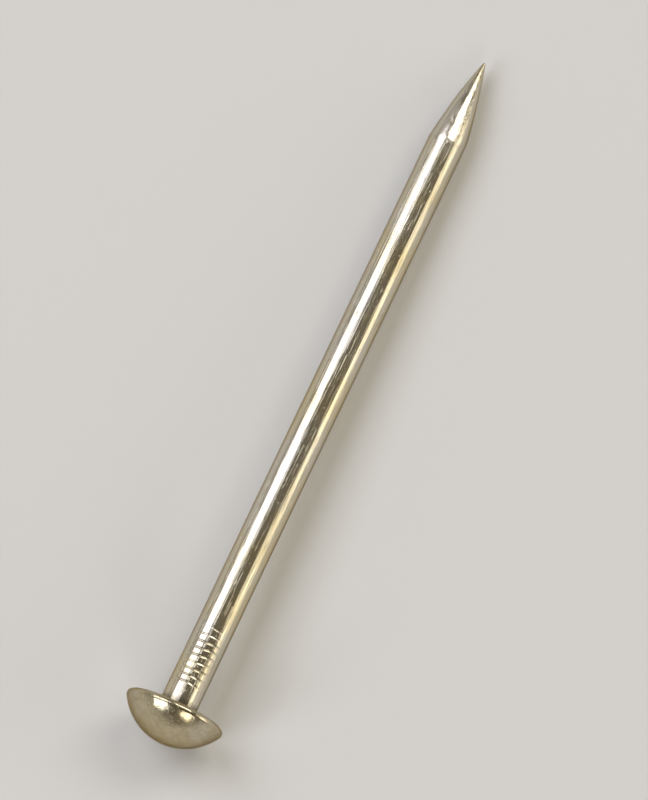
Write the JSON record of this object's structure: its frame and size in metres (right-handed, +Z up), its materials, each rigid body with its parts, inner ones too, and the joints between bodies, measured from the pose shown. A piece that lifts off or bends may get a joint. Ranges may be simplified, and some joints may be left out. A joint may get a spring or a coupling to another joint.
{
  "type": "straight pin",
  "caption": "Short straight pin with a domed head, flat bearing face and ground point, lying on the edge of its head and its shank.",
  "frame": {"origin": "on the surface that the pin lies on, under the middle of the pin: the centre of the base of its bounding box", "axes": "+X from the head to the point, +Z up; the shank leans 2.9 degrees nose down, because the head is wider than the wire"},
  "size_m": [0.01, 0.0014, 0.0013],
  "materials": {
    "nickel_plated_steel": "bright nickel plate with a warm tint, over hard drawn steel wire"
  },
  "bodies": {
    "root": {"straight_pin": "nickel_plated_steel"}
  },
  "joints": []
}
